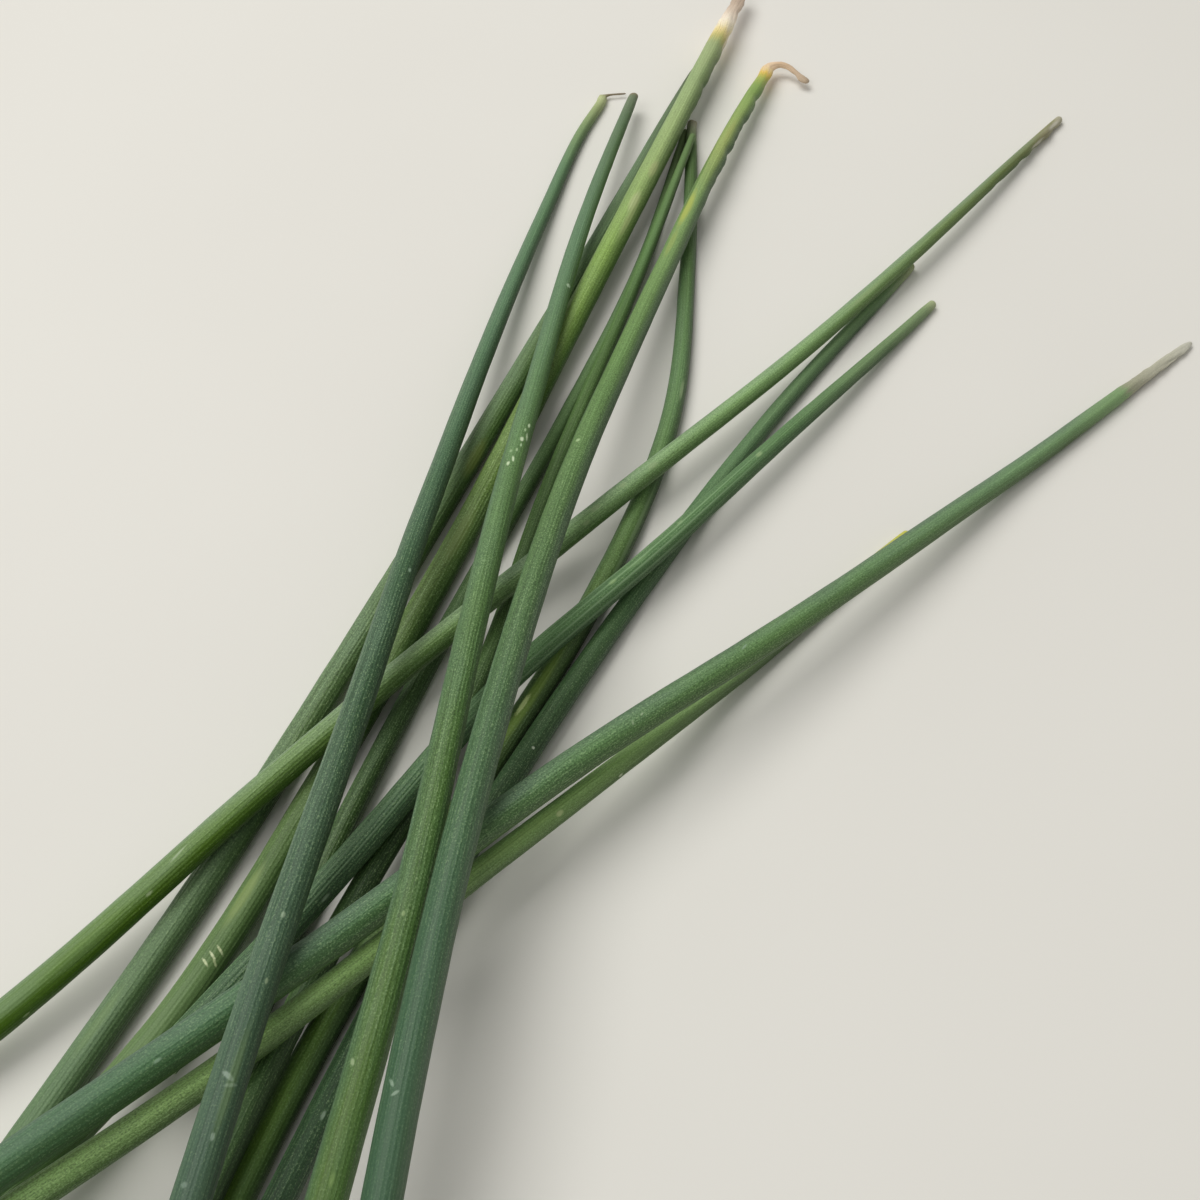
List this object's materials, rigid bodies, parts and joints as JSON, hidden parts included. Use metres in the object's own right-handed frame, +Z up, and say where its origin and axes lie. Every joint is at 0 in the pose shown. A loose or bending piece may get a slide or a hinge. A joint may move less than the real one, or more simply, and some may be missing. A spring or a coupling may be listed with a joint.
{
  "type": "chive bunch",
  "caption": "Loose bunch of cut chive leaves lying in a crossed heap, each a long hollow tapering tube with a withered tip.",
  "frame": {"origin": "on the surface that the bunch lies on, under the middle of the bunch's bounding box", "axes": "+Z up; +Y along the bunch, from the cut ends towards the tips; +X across it, so that the diagonal leaves' tips are on the +X side"},
  "size_m": [0.1905, 0.2748, 0.0197],
  "materials": {
    "olive_leaf": "satin",
    "green_leaf": "satin",
    "dark_leaf": "satin",
    "lime_leaf": "satin",
    "grey_green_leaf": "satin"
  },
  "bodies": {
    "root": {"leaf_olive_long": "olive_leaf", "leaf_slim_short": "green_leaf", "leaf_steep": "olive_leaf", "leaf_slim_hidden": "dark_leaf", "leaf_dark": "dark_leaf", "leaf_white_tip": "olive_leaf", "leaf_lime_diagonal": "lime_leaf", "leaf_ribbed": "grey_green_leaf", "leaf_yellow_green": "lime_leaf", "leaf_broad_diagonal": "grey_green_leaf", "leaf_grey_left": "grey_green_leaf", "leaf_mid_green": "green_leaf", "leaf_hooked_tip": "green_leaf"}
  },
  "joints": []
}
